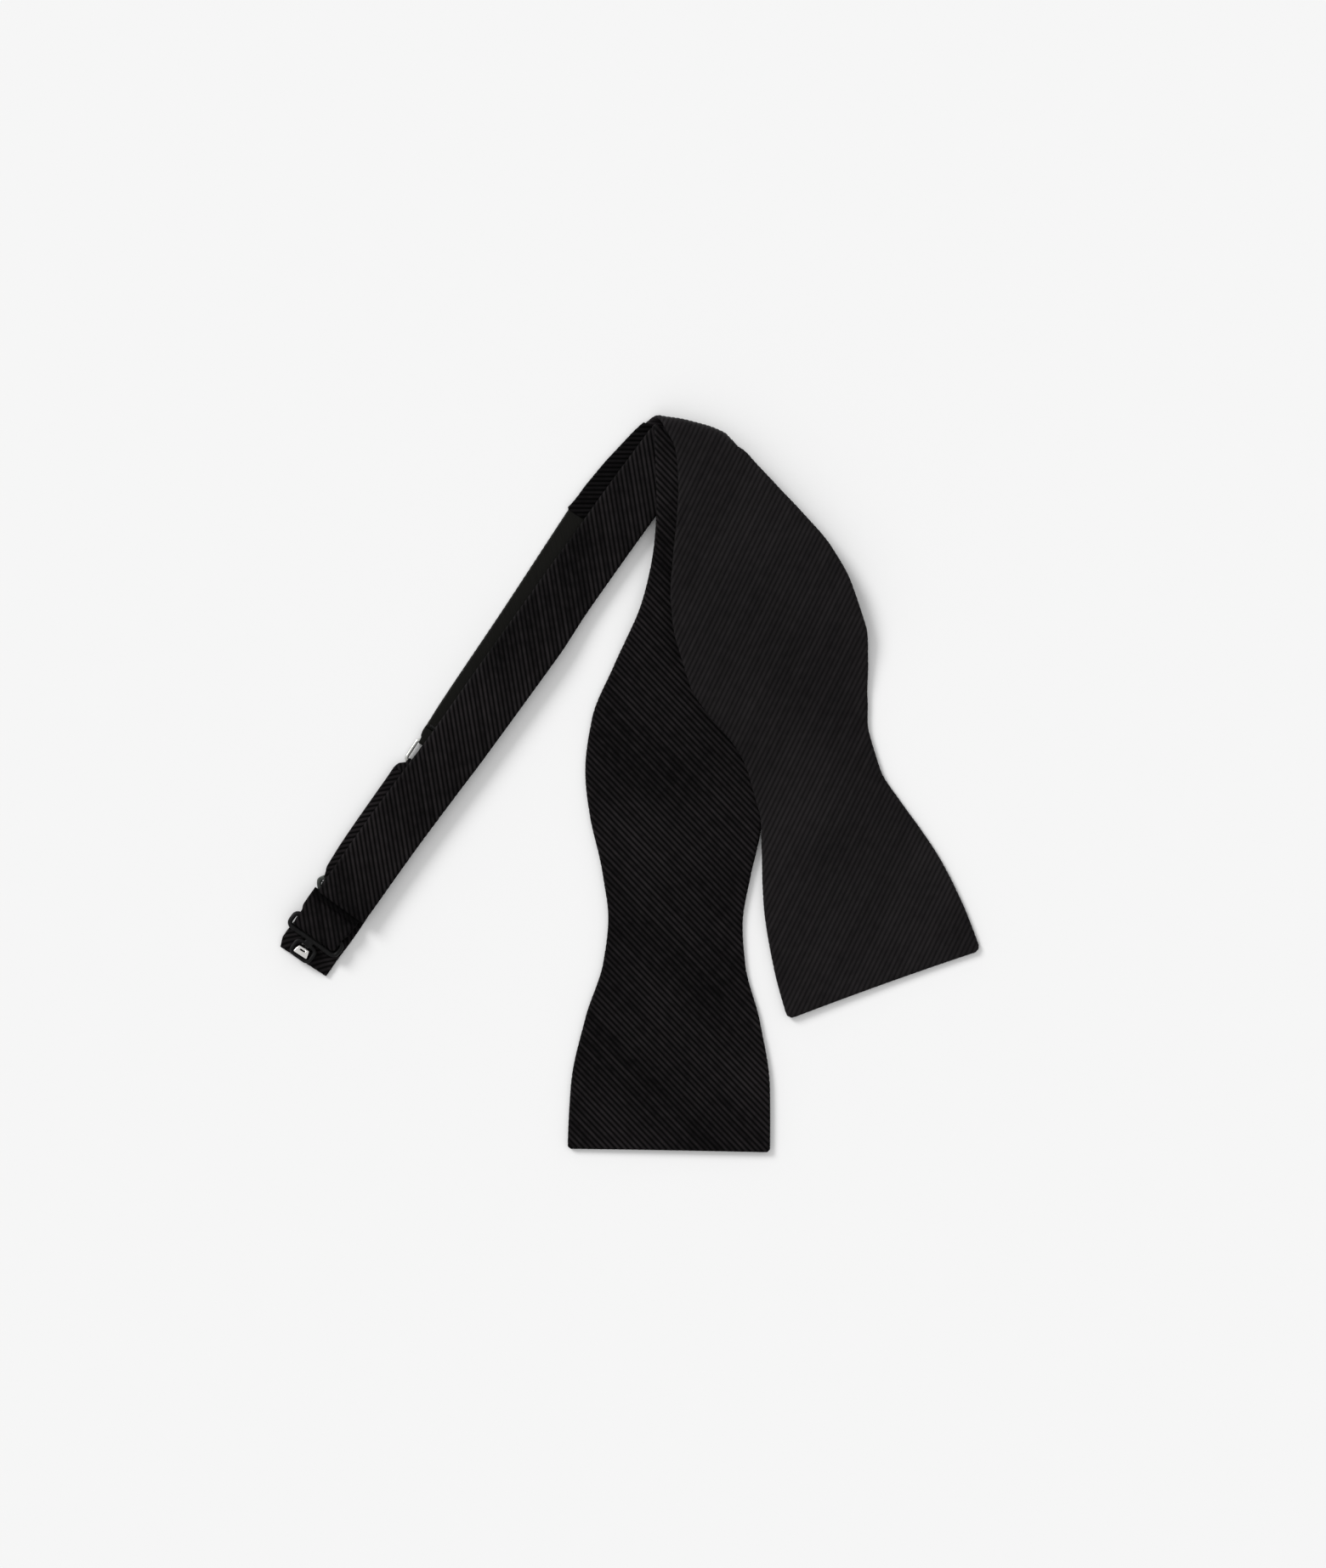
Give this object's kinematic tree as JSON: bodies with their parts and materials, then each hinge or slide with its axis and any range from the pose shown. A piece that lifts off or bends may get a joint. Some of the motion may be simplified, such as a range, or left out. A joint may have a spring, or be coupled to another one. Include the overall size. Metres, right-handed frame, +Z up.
{
  "type": "bow tie",
  "caption": "Untied self-tie bow tie in black ribbed cloth, hooked closed and folded flat, with two shaped blades and an adjustable neckband.",
  "frame": {"origin": "centre of the footprint, on the surface that the tie lies on", "axes": "+Z up off the surface, +Y towards the folded apex, +X towards the right blade"},
  "size_m": [0.2261, 0.2345, 0.0069],
  "materials": {
    "ribbed_silk": "black corded silk, ribs at 45 degrees, soft sheen",
    "interlining": "undyed brushed wool and cotton",
    "satin": "smooth dark satin tape",
    "thread": "black sewing thread",
    "pale_metal": "plain steel wire",
    "dark_metal": "grey-black lacquer, slightly glossy",
    "nickel": "bright nickel plate",
    "black_enamel": "black enamel, semi-gloss"
  },
  "bodies": {
    "rear_band": {"rear_band_lower_cloth": "ribbed_silk", "rear_band_interlining": "interlining", "rear_band_upper_cloth": "ribbed_silk", "satin_tape": "satin", "satin_tape_end_loop": "satin", "tape_bar_tack": "thread", "ring": "pale_metal", "adjusting_strap_ring_fold": "ribbed_silk", "adjusting_strap_return": "ribbed_silk"},
    "right_blade": {"right_blade_back_cloth": "ribbed_silk", "right_blade_interlining": "interlining", "right_blade_front_cloth": "ribbed_silk"},
    "slider": {"slider": "dark_metal", "adjusting_strap_sewn_end": "ribbed_silk"},
    "front_band": {"front_band_lower_cloth": "ribbed_silk", "front_band_interlining": "interlining", "front_band_upper_cloth": "ribbed_silk", "end_tab": "ribbed_silk", "adjusting_strap_run": "ribbed_silk", "adjusting_strap_hook_fold": "ribbed_silk", "hook": "nickel", "hook_bar_tack": "thread"},
    "left_blade": {"left_blade_back_cloth": "ribbed_silk", "left_blade_interlining": "interlining", "left_blade_front_cloth": "ribbed_silk"},
    "eye": {"eye": "black_enamel"}
  },
  "joints": [
    {"name": "right_blade_fold", "type": "hinge", "parent": "rear_band", "child": "right_blade", "pos_m": [0.02138, 0.11354, 0.00345], "axis": [-0.9636, 0.2672, 0], "range_deg": [0, 170]},
    {"name": "slider_travel", "type": "slide", "parent": "rear_band", "child": "slider", "axis": [0.5436, 0.8393, 0], "range_m": [0, 0.03]},
    {"name": "neck_size", "type": "slide", "parent": "rear_band", "child": "front_band", "axis": [-0.5436, -0.8393, 0], "range_m": [0, 0.03]},
    {"name": "left_blade_fold", "type": "hinge", "parent": "front_band", "child": "left_blade", "pos_m": [0.01651, 0.11331, 0.00345], "axis": [-0.9588, 0.284, 0], "range_deg": [0, 85]},
    {"name": "eye_lift", "type": "hinge", "parent": "front_band", "child": "eye", "pos_m": [-0.09961, -0.04434, 0.0026], "axis": [-0.8126, 0.5828, 0], "range_deg": [0, 110]}
  ],
  "couplings": [
    {"joint": "neck_size", "follows": "slider_travel", "ratio": 1},
    {"joint": "left_blade_fold", "follows": "right_blade_fold", "ratio": 0.5}
  ]
}
